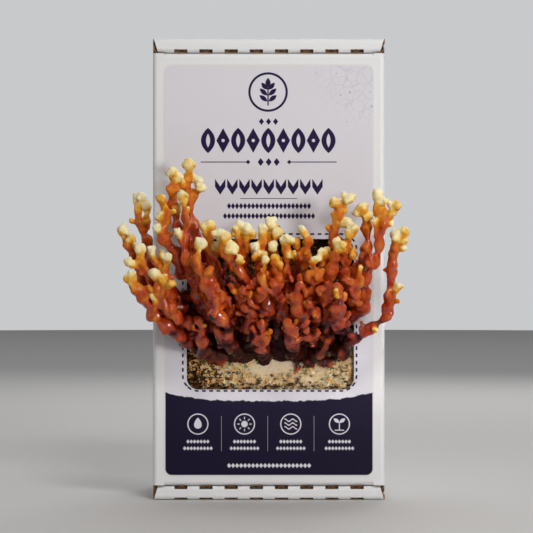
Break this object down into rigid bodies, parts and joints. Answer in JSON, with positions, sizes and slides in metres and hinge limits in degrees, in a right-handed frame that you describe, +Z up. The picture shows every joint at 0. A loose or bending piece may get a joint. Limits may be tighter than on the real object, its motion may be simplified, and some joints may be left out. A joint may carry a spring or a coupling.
{
  "type": "mushroom grow kit",
  "caption": "Corrugated carton standing on end with a window in its lid; an antler-shaped mushroom cluster grows out of the substrate block through the window.",
  "frame": {"origin": "centre of the carton's underside, on the surface it stands on", "axes": "+Z up along the carton's height, -Y out of the lid towards the viewer, +X to the viewer's right"},
  "size_m": [0.1846, 0.1634, 0.3],
  "materials": {
    "board": "white clay-coated corrugated board, brown raw edges",
    "label": "satin printed paper label",
    "substrate": "rough crumbly sawdust bound by pale mycelium",
    "crust": "glossy lacquered dark red skin",
    "antler": "lacquered red-brown, orange to cream at the tips"
  },
  "bodies": {
    "root": {"carton": "board", "label": "label", "substrate_block": "substrate", "root_crust": "crust", "antler_left_1": "antler", "antler_left_2": "antler", "antler_left_3": "antler", "antler_left_4": "antler", "antler_left_5": "antler", "antler_left_6": "antler", "antler_tall_1": "antler", "antler_tall_2": "antler", "antler_tall_3": "antler", "antler_tall_4": "antler", "antler_tall_5": "antler", "antler_front_1": "antler", "antler_front_2": "antler", "antler_low_1": "antler", "antler_low_2": "antler", "antler_low_3": "antler", "antler_centre_1": "antler", "antler_centre_2": "antler", "antler_centre_3": "antler", "antler_centre_4": "antler", "antler_centre_5": "antler", "antler_centre_6": "antler", "antler_centre_7": "antler", "antler_centre_8": "antler", "antler_centre_9": "antler", "antler_centre_10": "antler", "antler_centre_11": "antler", "antler_front_3": "antler", "antler_front_4": "antler", "antler_front_5": "antler", "antler_front_6": "antler", "antler_right_1": "antler", "antler_right_2": "antler", "antler_right_3": "antler", "antler_right_4": "antler", "antler_right_5": "antler", "antler_right_6": "antler", "antler_right_7": "antler", "antler_low_4": "antler", "antler_low_5": "antler", "antler_low_6": "antler", "antler_low_7": "antler", "antler_low_8": "antler"}
  },
  "joints": []
}
